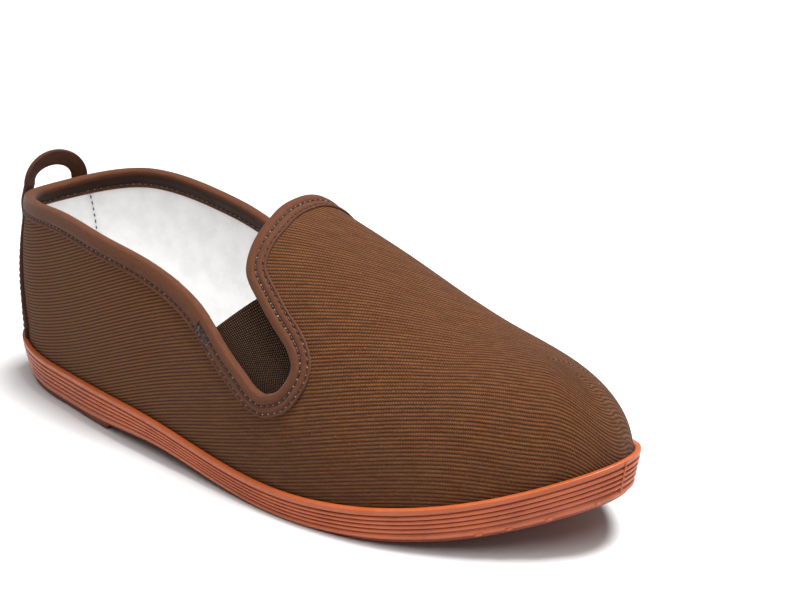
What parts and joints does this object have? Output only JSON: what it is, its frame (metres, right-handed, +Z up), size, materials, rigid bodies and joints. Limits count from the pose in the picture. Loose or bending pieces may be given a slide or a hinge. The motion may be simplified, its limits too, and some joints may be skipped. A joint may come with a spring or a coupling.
{
  "type": "canvas slip-on shoe",
  "caption": "Low canvas slip-on shoe with elastic side gores, bound collar and vamp edges, heel pull loop and a ribbed moulded sole.",
  "frame": {"origin": "middle of the shoe's length and width, on the floor under the sole", "axes": "+X from heel to toe, +Y to the inner side of the foot, +Z up"},
  "size_m": [0.27, 0.0942, 0.0927],
  "materials": {
    "outsole": "satin moulded sole, terracotta",
    "insole": "white cotton sock",
    "upper": "brown ribbed twill",
    "lateral_gore": "dark brown elastic webbing",
    "medial_gore": "dark brown elastic webbing",
    "collar_binding": "reddish brown cotton tape",
    "vamp_binding": "reddish brown cotton tape",
    "heel_pull_tape": "brown folded tape"
  },
  "bodies": {
    "root": {"outsole": "outsole", "insole": "insole", "upper": "upper", "lateral_gore": "lateral_gore", "medial_gore": "medial_gore", "collar_binding": "collar_binding", "vamp_binding": "vamp_binding", "heel_pull_tape": "heel_pull_tape"}
  },
  "joints": []
}
